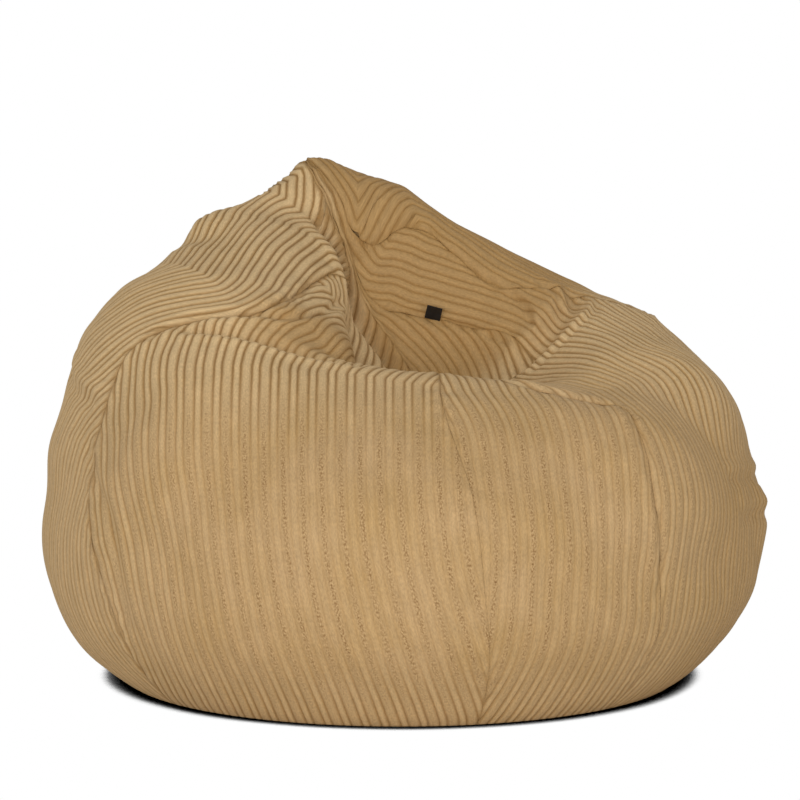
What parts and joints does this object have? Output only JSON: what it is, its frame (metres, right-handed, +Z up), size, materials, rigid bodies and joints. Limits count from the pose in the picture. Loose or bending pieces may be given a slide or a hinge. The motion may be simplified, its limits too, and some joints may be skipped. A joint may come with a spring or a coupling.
{
  "type": "bean bag chair",
  "caption": "Slumped teardrop bean bag chair in jumbo corduroy, with a pressed seat, a leaning tip, a zipped base and a zipped liner full of beads.",
  "frame": {"origin": "on the floor, at the middle of the round base", "axes": "+Z up, -Y towards the front of the seat, +X to the sitter's left"},
  "size_m": [0.9063, 0.8796, 0.6472],
  "materials": {
    "corduroy": "camel jumbo corduroy, wide and narrow wales in turn, soft brushed pile",
    "zip_tape": "woven polyester tape, dyed to match",
    "zip_coil": "nylon coil, dyed to match",
    "zip_metal": "die-cast slider, tumbled, with no pull",
    "label_satin": "bare black woven satin, folded",
    "liner_cloth": "plain unbleached polyester cotton",
    "liner_zip_tape": "woven polyester tape, natural white",
    "liner_zip_coil": "nylon coil, natural white",
    "polystyrene_beads": "loose expanded polystyrene beads, 3 to 5 mm"
  },
  "bodies": {
    "bag": {"front_left_panel": "corduroy", "front_right_panel": "corduroy", "right_panel": "corduroy", "back_right_panel": "corduroy", "back_left_panel": "corduroy", "left_panel": "corduroy", "base_front_half": "corduroy", "base_rear_half": "corduroy", "zip_tape_front": "zip_tape", "zip_tape_rear": "zip_tape", "zip_coil_front": "zip_coil", "zip_coil_rear": "zip_coil", "zip_top_stop": "zip_coil", "zip_bottom_stop": "zip_coil", "label": "label_satin", "liner_wall": "liner_cloth", "liner_base": "liner_cloth", "liner_zip_tape_front": "liner_zip_tape", "liner_zip_tape_rear": "liner_zip_tape", "liner_zip_coil_front": "liner_zip_coil", "liner_zip_coil_rear": "liner_zip_coil", "liner_zip_top_stop": "liner_zip_coil", "liner_zip_bottom_stop": "liner_zip_coil", "bead_fill": "polystyrene_beads"},
    "cover_slider": {"zip_slider": "zip_metal"},
    "liner_slider": {"liner_zip_slider": "zip_metal"}
  },
  "joints": [
    {"name": "cover_zip", "type": "slide", "parent": "bag", "child": "cover_slider", "axis": [1, 0, 0], "range_m": [-0.505, 0]},
    {"name": "liner_zip", "type": "slide", "parent": "bag", "child": "liner_slider", "axis": [1, 0, 0], "range_m": [-0.3455, 0]}
  ]
}
